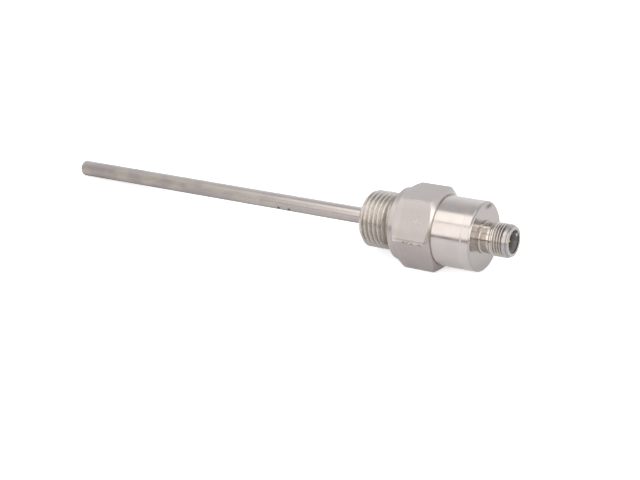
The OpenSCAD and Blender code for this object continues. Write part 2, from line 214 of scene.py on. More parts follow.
table_matt = bpy.data.materials.new("table_matt")
table_matt.use_nodes = True
finish = Finish(table_matt.node_tree)
mirrored = finish.add("LightPath", out="Is Glossy Ray")
mirrored = mirrored + finish.add("LightPath", out="Is Transmission Ray")
seen = finish.add("LightPath", out="Is Camera Ray")
fill = seen * table_fill_seen + mirrored * table_fill_mirrored
matt = finish.add("BsdfDiffuse", values={"Color": table_colour, "Roughness": 1.0})
glow = finish.add("Emission", values={"Color": white, "Strength": fill})
finish.close(finish.add("AddShader", values={0: matt, 1: glow}))
table_mesh.materials.append(table_matt)

# The room: white round the horizon behind the probe, greyer overhead, and a dark gap between the
# table's edge and the softboxes on the camera's side. Each list gives the colour at a height over
# the table, as a share of the way straight up. The camera itself sees plain white.
room_rise = [(0.0, (1.0, 1.0, 1.0)), (0.45, (0.9, 0.905, 0.92)), (0.8, (0.61, 0.61, 0.625)),
             (1.0, (0.53, 0.53, 0.54))]
room_front = [(0.0, (0.25, 0.23, 0.21)), (0.02, (0.4, 0.375, 0.35)), (0.06, (0.7, 0.68, 0.66)),
              (1.0, (0.5, 0.5, 0.5))]
toward_camera = (0, -1, 0)

world = bpy.data.worlds.new("studio")
world.use_nodes = True
scene.world = world
finish = Finish(world.node_tree)
ray = finish.add("TexCoord", out="Generated")
rise = finish.add("VectorMath", {"operation": "DOT_PRODUCT"}, {0: ray, 1: tuple(table_up)}, "Value")
front = finish.add("VectorMath", {"operation": "DOT_PRODUCT"}, {0: ray, 1: toward_camera}, "Value")
behind = finish.add("ValToRGB", {"stops": room_rise}, {0: rise})
facing = finish.add("ValToRGB", {"stops": room_front}, {0: rise})
glimpse = finish.blend(front.ramp(-0.1, 0.25), behind, facing)
glimpse = finish.blend(finish.add("LightPath", out="Is Camera Ray"), glimpse, white)
finish.close(finish.add("Background", values={"Color": glimpse, "Strength": 1.0}), "OutputWorld")

# Softboxes: name, centre, width, height, feathers of the low and the high edge as shares of the
# height, brightness over white, tint. Each faces the fitting, its width along the probe, or across
# it where it stands at the end. A lamp of pi watts a square metre is as bright as white.
side_feather, at_the_end = 0.15, 0.8
softboxes = [
    ("top_softbox", (-0.03, -0.22, 0.607), 0.90, 0.47, 0.02, 0.26, 1.09, (1.0, 0.97, 0.92)),
    ("front_softbox", (0.03, -0.60, 0.30), 1.10, 0.52, 0.04, 0.03, 0.86, (1.0, 0.955, 0.925)),
    ("end_softbox", (0.62, -0.04, 0.15), 0.66, 0.36, 0.03, 0.2, 1.25, (1.0, 0.97, 0.95)),
    ("back_softbox", (0.31, 0.09, 0.60), 0.34, 0.26, 0.15, 0.15, 1.9, (1.0, 0.985, 0.97)),
]
for name, centre, width, height, low_edge, high_edge, brightness, tint in softboxes:
    lamp = bpy.data.lights.new(name, "AREA")
    lamp.shape, lamp.size, lamp.size_y = "RECTANGLE", width, height
    lamp.energy = math.pi * width * height
    lamp.color = tint
    lamp.use_nodes = True
    finish = Finish(lamp.node_tree)
    spread = finish.parts(finish.add("NewGeometry", out="Parametric"))
    fade = spread[1].ramp(0, low_edge) * (1 - spread[1]).ramp(0, high_edge)
    fade = fade * (1 - abs(spread[0] - 0.5) * 2).ramp(0, side_feather)
    finish.close(finish.add("Emission", values={"Strength": fade * brightness}), "OutputLight")
    holder = bpy.data.objects.new(name, lamp)
    aim = np.array(centre) / np.linalg.norm(centre)
    across_probe, along_probe = np.cross((0, 0, 1), aim), np.array((1.0, 0, 0)) - aim * aim[0]
    side = across_probe if abs(aim[0]) > at_the_end else along_probe
    side /= np.linalg.norm(side)
    stand(holder, (side, np.cross(aim, side), aim), centre)
    holder.visible_camera = False


# ---- Sheath -------------------------------------------------------------------------------
# Drawn stainless tube, 6 x 0.5, ground down at the rear where it sits in the fitting. The skin is
# centreless ground: a satin of fine lines round the tube, with clouds of handling along it.
def eased(corners, steps=5, hold=0.03):
    """Closed outline of (x, radius, rounding) corners as rows of x and of radius: each corner
    becomes an arc of its rounding that touches both sides, with one more point on each side to
    keep it straight. A corner's x and radius may vary from column to column."""
    parts = [np.stack(np.broadcast_arrays(*map(np.ravel, corner)), -1) for corner in corners]
    parts = np.stack(np.broadcast_arrays(*parts)).astype(float)
    here, size = parts[..., :2], parts[..., 2:]
    before, after = np.roll(here, 1, axis=0) - here, np.roll(here, -1, axis=0) - here
    run_in = np.linalg.norm(before, axis=-1, keepdims=True)
    run_out = np.linalg.norm(after, axis=-1, keepdims=True)
    before, after = before / run_in, after / run_out
    half = np.arccos(np.clip((before * after).sum(axis=-1, keepdims=True), -1, 1)) / 2
    reach = size / np.tan(half)
    middle = before + after
    centre = here + middle / np.linalg.norm(middle, axis=-1, keepdims=True) * size / np.sin(half)
    start, end = here + before * reach, here + after * reach
    turn = np.pi - 2 * half
    rows = [start + before * np.where(size > 0, np.minimum(hold, run_in * 0.2), 0)]
    for share in np.linspace(0, 1, steps):
        near, far = np.sin((1 - share) * turn), np.sin(share * turn)
        rows.append(centre + (near * (start - centre) + far * (end - centre)) / np.sin(turn))
    rows.append(end + after * np.where(size > 0, np.minimum(hold, run_out * 0.2), 0))
    rows = np.stack(rows, axis=1).reshape(-1, *here.shape[1:])
    return rows[..., 0], rows[..., 1]


def skin(name, x, radius, angle, home=(0, 0), twist=None):
    """Closed mesh of the surface (x, radius * cos(angle), radius * sin(angle)), in millimetres.

    Rows follow the outline, columns go round; home is the axis's place in y and z. twist says
    which row each row meets where the last column joins the first, as a screw thread needs.
    Points nearer than same_point, in metres, become one."""
    same_point, sharp_from = 2e-7, math.radians(38)
    x, radius, angle = np.broadcast_arrays(x, radius, angle)
    count, columns = x.shape
    y, z = home[0] + radius * np.cos(angle), home[1] + radius * np.sin(angle)
    points = np.stack((x, y, z), axis=-1).reshape(-1, 3) * MM
    row = np.arange(count)[:, None]
    column = np.arange(columns)[None, :]
    above = (row + 1) % count
    meets = np.arange(count) if twist is None else twist
    ends = column == columns - 1
    following = (column + 1) % columns
    near_row = np.where(ends, meets[row], row)
    far_row = np.where(ends, meets[above], above)
    quads = np.stack((row * columns + column, near_row * columns + following,
                      far_row * columns + following, above * columns + column), axis=-1)
    mesh = bpy.data.meshes.new(name)
    mesh.from_pydata(points, [], quads.reshape(-1, 4))
    sheet = bmesh.new()
    sheet.from_mesh(mesh)
    bmesh.ops.remove_doubles(sheet, verts=sheet.verts, dist=same_point)
    bmesh.ops.dissolve_degenerate(sheet, edges=sheet.edges, dist=same_point / 2)
    bmesh.ops.recalc_face_normals(sheet, faces=sheet.faces)
    sheet.to_mesh(mesh)
    sheet.free()
    mesh.polygons.foreach_set("use_smooth", np.ones(len(mesh.polygons), bool))
    mesh.set_sharp_from_angle(angle=sharp_from)
    piece = bpy.data.objects.new(name, mesh)
    scene.collection.objects.link(piece)
    return piece


def turned(name, corners, columns=192, home=(0, 0)):
    """A closed turned piece: its eased outline carried round the axis in even steps."""
    angle = np.linspace(0, 2 * np.pi, columns, endpoint=False)[None, :]
    return skin(name, *eased(corners), angle, home)


def surface(name, make, metal=0.0):
    """A material whose make(finish, spot, x, y, z) gives colour, roughness and height.

    Height is in millimetres of real relief, so its bump keeps the scale of the piece."""
    material = bpy.data.materials.new(name)
    material.use_nodes = True
    finish = Finish(material.node_tree)
    spot, (x, y, z) = finish.place()
    values = make(finish, spot, x, y, z)
    bump = {"Height": values.pop("height"), "Distance": MM, "Strength": 1.0}
    normal = finish.add("Bump", values=bump)
    values.update({"Metallic": metal, "Normal": normal})
    finish.close(finish.add("BsdfPrincipled", values=values))
    return material


def settle(piece, material, node):
    """Gives a piece its material, hangs it from the root body and hides the node of the frame
    that it stands for.
    """
    piece.data.materials.append(material)
    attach(piece, "root")
    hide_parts(node)


sheath_r, sheath_bore_r, sheath_seat_r = 3.0, 2.5, 2.8
sheath_front_x, sheath_step_x, sheath_rear_x = -148.6, -14.0, 8.0
pits = [(-52.9, -2.65, -1.41), (-48.2, -2.65, -1.41)]
sheath_tints = {
    "warm patches": (0.51, 0.465, 0.41), "cool patches": (0.425, 0.38, 0.378),
    "painted light towards the fitting": (0.55, 0.505, 0.485), "top": (0.78, 0.74, 0.74),
    "painted shade underneath": (0.2, 0.18, 0.17), "pits": (0.05, 0.045, 0.04),
}


def satin_tube(finish, spot, x, y, z):
    """Warm and cool patches along the tube over fine ground lines round it, with painted light on
    top and painted shade underneath; smoother towards the fitting, with painted light there, and
    two small pits."""
    clouds = finish.noise(finish.vector(x * 0.5, y, z), 0.3, 2.0, 0.5)
    patches = finish.noise(finish.vector(x * 0.085, y * 0.12, z * 0.16 - x * 0.03), 1.0, 2.0, 0.55)
    lines = finish.noise(finish.vector(x * 9, y * 0.5, z * 0.5), 1.0, 3.0, 0.7)
    nearer = x.ramp(-115, -25)
    pitted = 0
    for pit_x, pit_y, pit_z in pits:
        gap_squared = (x - pit_x) ** 2 + (y - pit_y) ** 2 + (z - pit_z) ** 2
        pitted = gap_squared.ramp(0.1, 0.5, 1, 0) + pitted
    # Painted light on top and towards the fitting, and painted shade underneath, over the patches.
    tint = finish.layers(sheath_tints["cool patches"], sheath_tints, {
        "warm patches": (clouds * 0.3 + patches * 0.7).ramp(0.43, 0.55),
        "painted light towards the fitting": nearer * 0.75,
        "top": z.ramp(1.6, 2.6, 0, 0.3),
        "painted shade underneath": z.ramp(-2.5, -1.1, 0.8, 0),
        "pits": pitted,
    })
    rough = 0.37 - nearer * 0.13 + clouds.ramp(0.35, 0.65, -0.05, 0.05)
    rough = rough + lines.ramp(0.3, 0.7, -0.02, 0.02)
    height = lines * 0.0009 + clouds * 0.002
    return {"Base Color": tint, "Roughness": rough, "height": height}


sheath = turned("sheath_ground", [
    (sheath_front_x, sheath_bore_r, 0.02), (sheath_front_x, sheath_r, 0.03),
    (sheath_step_x, sheath_r, 0.02), (sheath_step_x, sheath_seat_r, 0.02),
    (sheath_rear_x, sheath_seat_r, 0.05), (sheath_rear_x, sheath_bore_r, 0.02),
])
sheath_satin = surface("sheath_satin", satin_tube, metal=1.0)
settle(sheath, sheath_satin, "sheath_tube")


# ---- Tip plug -----------------------------------------------------------------------------
# Turned plug that closes the tube, welded round its shoulder and dressed flush, with a rounded
# outer edge that slides into a pocket.
tip_x, tip_round = -150.0, 0.8
tip_spigot_r, tip_spigot_x = 2.47, -146.6

tip = turned("tip_welded", [
    (tip_x, 0.0, 0.001), (tip_x, sheath_r, tip_round), (sheath_front_x, sheath_r, 0.03),
    (sheath_front_x, tip_spigot_r, 0.02), (tip_spigot_x, tip_spigot_r, 0.1),
    (tip_spigot_x, 0.0, 0.001),
])
settle(tip, sheath_satin, "tip_plug")


# ---- Process fitting ----------------------------------------------------------------------
# One turned and milled piece: a G 1/2 thread cut as a true right-handed helix, a relief, a collar
# with the sealing face, a 27 mm hexagon with turned ends, and the spigot that carries the head.
thread_pitch, thread_crest_r, thread_depth, thread_round = 1.814, 10.4775, 1.1616, 0.2491
thread_flank, run_out_slope = math.radians(62.5), 1.484
thread_front_x, thread_rear_x = -14.0, -2.75
thread_crest_x, thread_crest_turn = -3.657, math.radians(152)
lead_in_r, relief_r = 8.78, 9.216
collar_x, collar_r, collar_ease = 2.3, 13.15, 0.25
flat_r, corner_ease, half_flat, flat_columns = 13.5, 0.3, math.pi / 6, 35
hex_rear_x, hex_front_r, hex_rear_r, crease_least = 16.65, 13.75, 13.4, 0.05
front_slope, rear_slope = math.tan(math.radians(37)), math.tan(math.radians(30))
spigot_r, spigot_x, wire_space_r, wire_space_x, bore_r = 11.57, 22.37, 6.5, 6.0, 2.83
gap_x, gap_end_x, gap_r, shoulder_r = 17.0, 17.35, 12.45, 12.75
corner_centre_r = (flat_r - corner_ease) / math.cos(half_flat)
flat_end = math.atan(math.tan(half_flat) * (1 - corner_ease / flat_r))


def thread_rows(round_r, crest_r, depth, flank, pitch):
    """One pitch of thread as (place, radius): a rounded crest, and half a rounded root on each
    side, joined by straight flanks."""
    crest = np.linspace(-flank, flank, 7)
    root = np.linspace(0, flank, 4)[:0:-1]
    peak = np.stack((round_r * np.sin(crest), crest_r - round_r + round_r * np.cos(crest)), 1)
    low = crest_r - depth + round_r
    rear = np.stack((pitch / 2 - round_r * np.sin(root), low - round_r * np.cos(root)), 1)
    front = rear[::-1] * (-1, 1)
    foot = np.array([[-pitch / 2, low - round_r]])
    return np.concatenate((foot, front, peak, rear))


def helix(form, pitch, front_x, rear_x, crest_x, crest_turn, angle, limit):
    """Rows of a screw thread between two places on the axis: x, radius, and the row that each
    row meets after one turn.

    Every row of the form climbs one pitch a turn. Places are held between the ends, and limit(x)
    is the most that the radius may be, so that the thread starts and runs out in a cone."""
    climb = pitch * (angle - crest_turn) / (2 * np.pi)
    before = crest_x + form[0, 0] + pitch * (1 - crest_turn / (2 * np.pi)) - front_x
    base = crest_x - pitch * math.ceil(before / pitch)
    turns = math.ceil((rear_x - base - form[-1, 0]) / pitch + crest_turn / (2 * np.pi)) + 1
    row = np.arange(turns * len(form))
    x = base + form[row % len(form), 0] + pitch * (row // len(form))
    x = np.clip(x[:, None] + climb, front_x, rear_x)
    radius = np.minimum(form[row % len(form), 1][:, None], limit(x))
    return x, radius, np.minimum(row + len(form), len(row) - 1)


def threaded(corners, after, thread):
    """A closed outline with thread rows put in after one of its corners: x, radius, twist."""
    x, radius = eased(corners)
    cut = (after + 1) * len(x) // len(corners)
    width = max(x.shape[1], thread[0].shape[1])
    x, radius = (np.broadcast_to(v, (len(v), width)) for v in (x, radius))
    twist = np.concatenate((np.arange(cut), cut + thread[2],
                            cut + len(thread[2]) + np.arange(len(x) - cut)))
    return (np.concatenate((x[:cut], thread[0], x[cut:])),
            np.concatenate((radius[:cut], thread[1], radius[cut:])), twist)


def hexagon_reach(angle):
    """Radius of a hexagon with a flat at 30 degrees: the flat's distance over the cosine, or at
    the corners the arc that rounds them."""
    off_middle = np.abs(angle % (2 * half_flat) - half_flat)
    off_corner = half_flat - off_middle
    inside = np.maximum(corner_ease**2 - (corner_centre_r * np.sin(off_corner)) ** 2, 0)
    arc = corner_centre_r * np.cos(off_corner) + np.sqrt(inside)
    return np.where(off_middle > flat_end, arc, flat_r / np.cos(off_middle))


# The columns stand close together round each corner's arc and evenly over each flat.
arc_half = half_flat - flat_end
sector = np.concatenate(([0, arc_half / 2, arc_half],
                         arc_half + 2 * flat_end * np.linspace(0.008, 0.992, flat_columns),
                         [2 * half_flat - arc_half, 2 * half_flat - arc_half / 2]))
fitting_angle = (np.arange(6)[:, None] * 2 * half_flat + sector).ravel()[None, :]
hex_reach = hexagon_reach(fitting_angle)
front_edge_r = np.minimum(hex_reach - crease_least, hex_front_r)
front_crease = collar_x + np.maximum(crease_least, (hex_reach - hex_front_r) * front_slope)
rear_crease = hex_rear_x - (hex_reach - hex_rear_r) * rear_slope

fitting_thread = helix(
    thread_rows(thread_round, thread_crest_r, thread_depth, thread_flank, thread_pitch),
    thread_pitch, thread_front_x, thread_rear_x, thread_crest_x, thread_crest_turn, fitting_angle,
    lambda x: np.minimum(lead_in_r + x - thread_front_x,
                         relief_r + (thread_rear_x - x) * run_out_slope))
fitting_rows = threaded([
    (thread_front_x, bore_r, 0.05), (thread_front_x, lead_in_r, 0),
    (thread_rear_x, relief_r, 0), (0, relief_r, 0.08),
    (0, collar_r - collar_ease, 0.06), (collar_ease, collar_r, 0.06),
    (collar_x, collar_r, 0.1), (collar_x, front_edge_r, 0.015),
    (front_crease, hex_reach, 0.015), (rear_crease, hex_reach, 0.012),
    (hex_rear_x, hex_rear_r, 0.1), (gap_x, shoulder_r, 0.05), (gap_x, gap_r, 0.03),
    (gap_end_x, gap_r, 0.03), (gap_end_x, spigot_r, 0.03),
    (spigot_x, spigot_r, 0.06), (spigot_x, wire_space_r, 0.06),
    (wire_space_x, wire_space_r, 0.1), (wire_space_x, bore_r, 0.03),
], 1, fitting_thread)
fitting = skin("fitting_turned", *fitting_rows[:2], fitting_angle, twist=fitting_rows[2])

# The lead-in and the rear chamfer are cones: x - radius, or x + radius * rear_slope, is the same
# all over each. The scuff is on the front flat, and a dark reflection is painted on the collar.
thread_root_r = thread_crest_r - thread_depth
lead_cone, rear_cone = thread_front_x - lead_in_r, hex_rear_x + hex_rear_r * rear_slope
corner_r = corner_centre_r + corner_ease
scuff_x, scuff_z, collar_reflection_x, collar_reflection_z = 11.3, 6.8, 1.4, 3.2
fitting_tints = {
    "turned pale": (0.62, 0.58, 0.565), "turned dark": (0.59, 0.545, 0.53),
    "satin": (0.545, 0.503, 0.49), "thread": (0.66, 0.625, 0.59),
    "painted crest highlight": (0.80, 0.765, 0.73), "oiled roots": (0.48, 0.435, 0.37),
    "painted shade in the roots on top": (0.2, 0.18, 0.165), "lead-in": (0.74, 0.71, 0.69),
    "painted shade in the relief": (0.16, 0.13, 0.10), "painted shade low on the chamfer": (0.2, 0.185, 0.18),
    "painted shade across the chamfer's middle": (0.30, 0.272, 0.25), "joint gap": (0.50, 0.44, 0.38),
    "painted shadow at the chamfer's top": (0.25, 0.22, 0.2), "painted light high on the chamfer": (0.76, 0.72, 0.64),
    "corners": (0.74, 0.70, 0.68), "painted dark edge lines": (0.25, 0.22, 0.2),
    "specks": (0.40, 0.365, 0.35), "painted shade low on the front flat": (0.40, 0.36, 0.34),
    "milled lines": (0.42, 0.385, 0.36), "chatter": (0.34, 0.31, 0.28),
    "painted light on the flat on top": (0.60, 0.57, 0.56), "nicks": (0.13, 0.115, 0.105),
    "scuff": (0.68, 0.65, 0.63), "dents": (0.3, 0.275, 0.26), "painted_collar_reflection": (0.24, 0.215, 0.2),
}


def fitting_finish(finish, spot, x, y, z):
    """Turning rings over the round faces, with chatter on the thread and a dark reflection painted
    on the collar; thread roots dulled by cutting oil, with painted light on them and a painted
    highlight on the crests in a band, and painted shade in the roots on top and in the relief;
    satin flats with milled lines, specks and a dented scuff, with painted light on the flat on top
    and painted shade low on the front flat; corners worn smooth and nicked, with a painted
    highlight along them and painted dark lines along the two in front; painted light and shade
    on the rear chamfer, and a painted shadow at its top by the joint."""
    radius = (y * y + z * z) ** 0.5
    in_front = y.ramp(-11, -10, 1, 0)
    on_corner = y.ramp(-14, -13, 1, 0)
    in_thread = x.ramp(-0.15, -0.05, 1, 0) * (x - radius).ramp(lead_cone + 0.08, lead_cone + 0.48)
    root = radius.ramp(thread_root_r + 0.034, thread_root_r + 0.784, 1, 0) * in_thread
    root = root * x.ramp(thread_front_x + 0.02, thread_front_x + 0.15)
    lead_in = (x - radius).ramp(lead_cone + 0.06, lead_cone + 0.18, 1, 0)
    lead_in = lead_in * x.ramp(thread_front_x + 2, thread_front_x + 2.1, 1, 0)
    satin = x.ramp(-0.1, 0.0) * x.ramp(gap_x, gap_x + 0.1, 1, 0)
    satin = satin * radius.ramp(gap_r - 0.05, gap_r + 0.05)
    turned_end = (x + radius * rear_slope).ramp(rear_cone - 0.137, rear_cone - 0.027) * satin
    corner = radius.ramp(corner_r - 0.292, corner_r - 0.042) * satin * z.ramp(2, 4, 1, 0.25)
    groove = x.ramp(gap_x - 0.07, gap_x) * radius.ramp(shoulder_r - 0.09, shoulder_r + 0.01, 1, 0)

    cloud = finish.noise(spot, 0.25, 3.0)
    grain = finish.noise(spot, 3.2, 4.0, 0.65)
    specks = grain.ramp(0.57, 0.66) * satin
    scuff = x.near(scuff_x, 4.5) * z.near(scuff_z, 3.0) * satin * in_front
    dents = finish.noise(spot, 2.4, 3.0, 0.7).ramp(0.58, 0.64) * scuff
    scuff = finish.noise(finish.vector(x, y, z * 1.6), 0.9, 3.0, 0.75).ramp(0.5, 0.57) * scuff
    # Painted dark lines along the lower and the upper front edges of the hexagon.
    crease = z.near(0.75, 0.5) * satin * on_corner * x.ramp(3.5, 5)
    upper = (y * 0.5 + z * 0.866).near(7.35, 0.45) * y.ramp(-7.8, -7.6, 1, 0) * z.ramp(11, 12)
    upper = upper * satin * (1 - turned_end) * finish.noise(spot, 0.8, 2.0).ramp(0.35, 0.5, 0.3, 1)
    milled = finish.noise(finish.vector(x * 1.6, y * 0.1, z * 0.1), 1.0, 3.0, 0.7)
    chatter = finish.noise(finish.vector(x * 1.5, y, z), 1.2, 3.0, 0.8)
    # A dark reflection painted on the collar.
    painted_collar_reflection = ((x - collar_reflection_x) ** 2 + (z - collar_reflection_z) ** 2).ramp(0.1, 1.6, 1, 0) * in_front
    struck = abs(z).ramp(0.8, 1.6, 1, 0) * on_corner * x.ramp(6, 8)
    nick = finish.noise(finish.vector(x * 1.1, y, z), 1.0, 3.0, 0.7)
    nick = (nick + struck * 0.08).ramp(0.57, 0.63) * corner
    # lit is the band of the thread where light falls: its crests get a painted highlight and its
    # roots painted light.
    lit = z.ramp(3.4, 6.2) * z.ramp(8.3, 9.6, 1, 0)
    # The top of the rear chamfer by the joint, which gets a painted shadow.
    edge = turned_end * radius.ramp(12.9, 13.3, 1, 0) * z.ramp(8.5, 10.5)

    tint = finish.layers(fitting_tints["turned pale"], fitting_tints, {
        "turned dark": cloud.ramp(0.35, 0.65),
        "satin": satin * x.ramp(4.6, 5.4, 0.35, 1),
        "thread": in_thread,
        # Painted highlight on the crests, and oiled roots lighter as painted light, in the lit
        # band.
        "painted crest highlight": in_thread * lit * 0.6,
        "oiled roots": root * (0.8 - lit * 0.55),
        # Painted shade in the roots on top and in the relief by the collar.
        "painted shade in the roots on top": root * z.ramp(8.4, 9.8, 0, 0.35),
        "lead-in": lead_in,
        "painted shade in the relief": x.ramp(thread_rear_x - 0.1, thread_rear_x + 0.05) * root * 0.3,
        # Painted shade and light on the rear chamfer by height, and a painted shadow at its top by
        # the joint.
        "painted shade low on the chamfer": turned_end * z.ramp(-12, -8, 0.3, 0),
        "painted shade across the chamfer's middle": turned_end * z.near(4.2, 5.2) * 0.6,
        "joint gap": groove,
        "painted shadow at the chamfer's top": edge * 0.6,
        "painted light high on the chamfer": turned_end * z.near(9, 2.8) * 0.7,
        # A painted highlight along the corners, and painted dark lines along the front edges.
        "corners": corner * z.ramp(0.5, 3, 0.3, 0.6),
        "painted dark edge lines": crease * 0.55 + upper * 0.6,
        "specks": specks * 0.35,
        # Painted shade low on the front flat.
        "painted shade low on the front flat": satin * z.near(2.4, 2.2) * 0.25,
        "milled lines": milled.ramp(0.45, 0.65) * satin * 0.2,
        "chatter": chatter.ramp(0.5, 0.65) * in_thread * 0.3,
        # Painted light on the flat on top.
        "painted light on the flat on top": satin * z.ramp(9.5, 13, 0, 0.5) * (1 - turned_end),
        "nicks": nick * 0.7,
        "scuff": scuff * 0.5,
        "dents": dents * 0.6,
        "painted_collar_reflection": painted_collar_reflection * 0.45,
    })
    rings = finish.noise(finish.vector(x * 8, radius * 8, 0), 1.0, 3.0, 0.7)
    rough = 0.2 + satin * 0.23 - turned_end * 0.2 - corner * z.ramp(0.5, 3, 0, 0.12)
    rough = rough + in_thread * z.ramp(3, 9, 0, 0.12) + root * 0.08 + lead_in * 0.2
    rough = rough + cloud.ramp(0.3, 0.7, -0.03, 0.03)
    height = rings * 0.0015 + cloud * 0.012 + grain * satin * 0.006 + chatter * in_thread * 0.06
    height = height + scuff * 0.01 - dents * 0.012 - nick * 0.03
    return {"Base Color": tint, "Roughness": rough, "height": height}


settle(fitting, surface("fitting_steel_turned", fitting_finish, metal=1.0),
       "process_fitting")


# ---- Housing ------------------------------------------------------------------------------
# Polished stainless sleeve pressed over the fitting's spigot, and the cap that closes it, joined
# by a fine laser weld round its edge.
housing_x, housing_r, housing_seat_r, housing_bore_r = 17.37, 12.6, 11.6, 11.2
cover_x, cover_end_x, cover_ease, weld_round = 28.6, 32.0, 0.65, 0.03
cover_spigot_x, cover_spigot_r, cover_bore_r, plug_hole_r = 26.6, 11.17, 9.57, 5.48
smudge_y, smudge_z, smudge_tilt = 3.7, 10.7, 0.12
housing_tints = {
    "polished pale": (0.64, 0.59, 0.567), "polished dark": (0.61, 0.57, 0.552),
    "faced end": (0.50, 0.465, 0.455), "weld": (0.70, 0.655, 0.635), "smudge": (0.2, 0.18, 0.18),
}


def housing_finish(finish, spot, x, y, z):
    """Polished round with faint turning lines and wiping marks; the dressed weld's ring is a
    little paler and duller, and the faced end carries a smudge near its edge."""
    radius = (y * y + z * z) ** 0.5
    cloud = finish.noise(spot, 0.2, 3.0)
    weld = x.near(cover_x + 0.1, 0.6) * z.ramp(4, 8, 0.75, 0.25)
    end = x.ramp(cover_end_x - 0.05, cover_end_x - 0.01)
    smudge = y.near(smudge_y, 4.2) * (z + y * smudge_tilt).near(smudge_z, 1.5) * end
    smudge = smudge * finish.noise(spot, 1.1, 3.0, 0.7).ramp(0.27, 0.44)
    wiped = finish.noise(finish.vector(x * 0.3, y * 0.6, z * 0.15), 1.0, 3.0, 0.6).ramp(0.4, 0.62)
    rings = finish.noise(finish.vector(x * 6, radius * 6, 0), 1.0, 3.0, 0.7)
    tint = finish.layers(housing_tints["polished pale"], housing_tints, {
        "polished dark": cloud.ramp(0.35, 0.65),
        "faced end": x.ramp(cover_end_x - 0.7, cover_end_x - 0.5) * 0.9,
        "weld": weld * 0.7,
        "smudge": smudge,
    })
    rough = 0.17 + weld * 0.2 + wiped * 0.04 + smudge * 0.15 + rings.ramp(0.3, 0.7, -0.02, 0.02)
    height = rings * 0.0006 + weld * 0.015 + cloud * 0.006
    return {"Base Color": tint, "Roughness": rough, "height": height}


housing_steel = surface("housing_steel_polished", housing_finish, metal=1.0)
sleeve = turned("sleeve_polished", [
    (housing_x, housing_seat_r, 0.05), (housing_x, housing_r, 0.12),
    (cover_x, housing_r, weld_round), (cover_x, housing_bore_r, 0.02),
    (spigot_x, housing_bore_r, 0.02), (spigot_x, housing_seat_r, 0.02),
], 256)
settle(sleeve, housing_steel, "housing_sleeve")
cover = turned("cover_welded", [
    (cover_spigot_x, cover_bore_r, 0.1), (cover_spigot_x, cover_spigot_r, 0.1),
    (cover_x, cover_spigot_r, 0.02), (cover_x, housing_r, weld_round),
    (cover_end_x - cover_ease, housing_r, 0.35), (cover_end_x, housing_r - cover_ease, 0.35),
    (cover_end_x, plug_hole_r, 0.03), (cover_x, plug_hole_r, 0.05), (cover_x, cover_bore_r, 0.1),
], 256)
settle(cover, housing_steel, "end_cover")


# ---- Plug shell ---------------------------------------------------------------------------
# Brass M12 shell, turned in one with its foot, neck, right-handed thread and plain nose, and
# nickel plated. A lip at the nose keeps the insert in.
plug_pitch, plug_crest_r, plug_depth, plug_round = 1.0, 6.0, 0.64, 0.09
plug_flank, plug_columns = math.radians(60), 192
plug_front_x, plug_rear_x, plug_crest_x, plug_crest_turn = 35.7, 40.9, 37.12, math.radians(154)
neck_r, neck_x, foot_r, foot_x = 5.5, 35.4, 5.98, 32.75
run_in_r, run_in_slope, run_off_slope, fade_r, fade_slope = 5.48, 0.9, 4.0, 5.968, 0.27
shell_x, shell_spigot_r, shell_bore_r, lip_r = 29.6, 5.45, 4.7, 4.2
undercut_x, undercut_r, collar_end_x, taper_x, taper_r = 41.06, 5.33, 41.5, 42.25, 5.75
lip_x, nose_x, nose_r, plug_end_x = 42.5, 42.35, 5.4, 43.1

plug_angle = np.linspace(0, 2 * np.pi, plug_columns, endpoint=False)[None, :]
plug_thread_x, plug_thread_r, plug_twist = helix(
    thread_rows(plug_round, plug_crest_r, plug_depth, plug_flank, plug_pitch),
    plug_pitch, plug_front_x, plug_rear_x, plug_crest_x, plug_crest_turn, plug_angle,
    lambda x: np.minimum(run_in_r + (x - plug_front_x) * run_in_slope,
                         undercut_r + (plug_rear_x - x) * run_off_slope))
# The groove fades out towards the neck, where the cutter was drawn back: its floor rises with the
# run-in cone and then sinks slowly until it is below the thread's own root.
along_thread = plug_thread_x - plug_front_x
floor_r = np.minimum(run_in_r + along_thread * run_in_slope, fade_r - along_thread * fade_slope)
plug_thread = plug_thread_x, np.maximum(plug_thread_r, floor_r), plug_twist
plug_rows = threaded([
    (shell_x, shell_bore_r, 0.05), (shell_x, shell_spigot_r, 0.05),
    (cover_end_x, shell_spigot_r, 0.01), (cover_end_x, foot_r, 0.03), (foot_x, foot_r, 0.36),
    (foot_x, neck_r, 0.05), (neck_x, neck_r, 0.05), (plug_front_x, run_in_r, 0),
    (plug_rear_x, undercut_r, 0), (undercut_x, undercut_r, 0.03),
    (undercut_x + 0.12, plug_crest_r, 0.05),
    (collar_end_x, plug_crest_r, 0.1), (taper_x, taper_r, 0.05), (nose_x, nose_r, 0.04),
    (plug_end_x - 0.2, nose_r, 0.1), (plug_end_x, nose_r - 0.15, 0.05),
    (plug_end_x, lip_r, 0.06), (lip_x, lip_r, 0.02), (lip_x, shell_bore_r, 0.02),
], 7, plug_thread)
plug = skin("plug_nickel", *plug_rows[:2], plug_angle, twist=plug_rows[2])
nickel_tints = {
    "bright": (0.76, 0.705, 0.65), "dull": (0.68, 0.635, 0.585), "mottle": (0.42, 0.37, 0.30),
    "thread": (0.60, 0.56, 0.53), "grooves": (0.44, 0.40, 0.375),
    "painted shade in the grooves on top": (0.16, 0.145, 0.14), "painted shade atop the foot's edge": (0.36, 0.32, 0.28),
    "painted shade on the first turn's crest": (0.38, 0.35, 0.32), "painted shade beneath the thread": (0.40, 0.365, 0.35),
    "foot": (0.42, 0.38, 0.31), "nose": (0.50, 0.475, 0.47), "painted shade at the nose's step": (0.33, 0.31, 0.31),
}


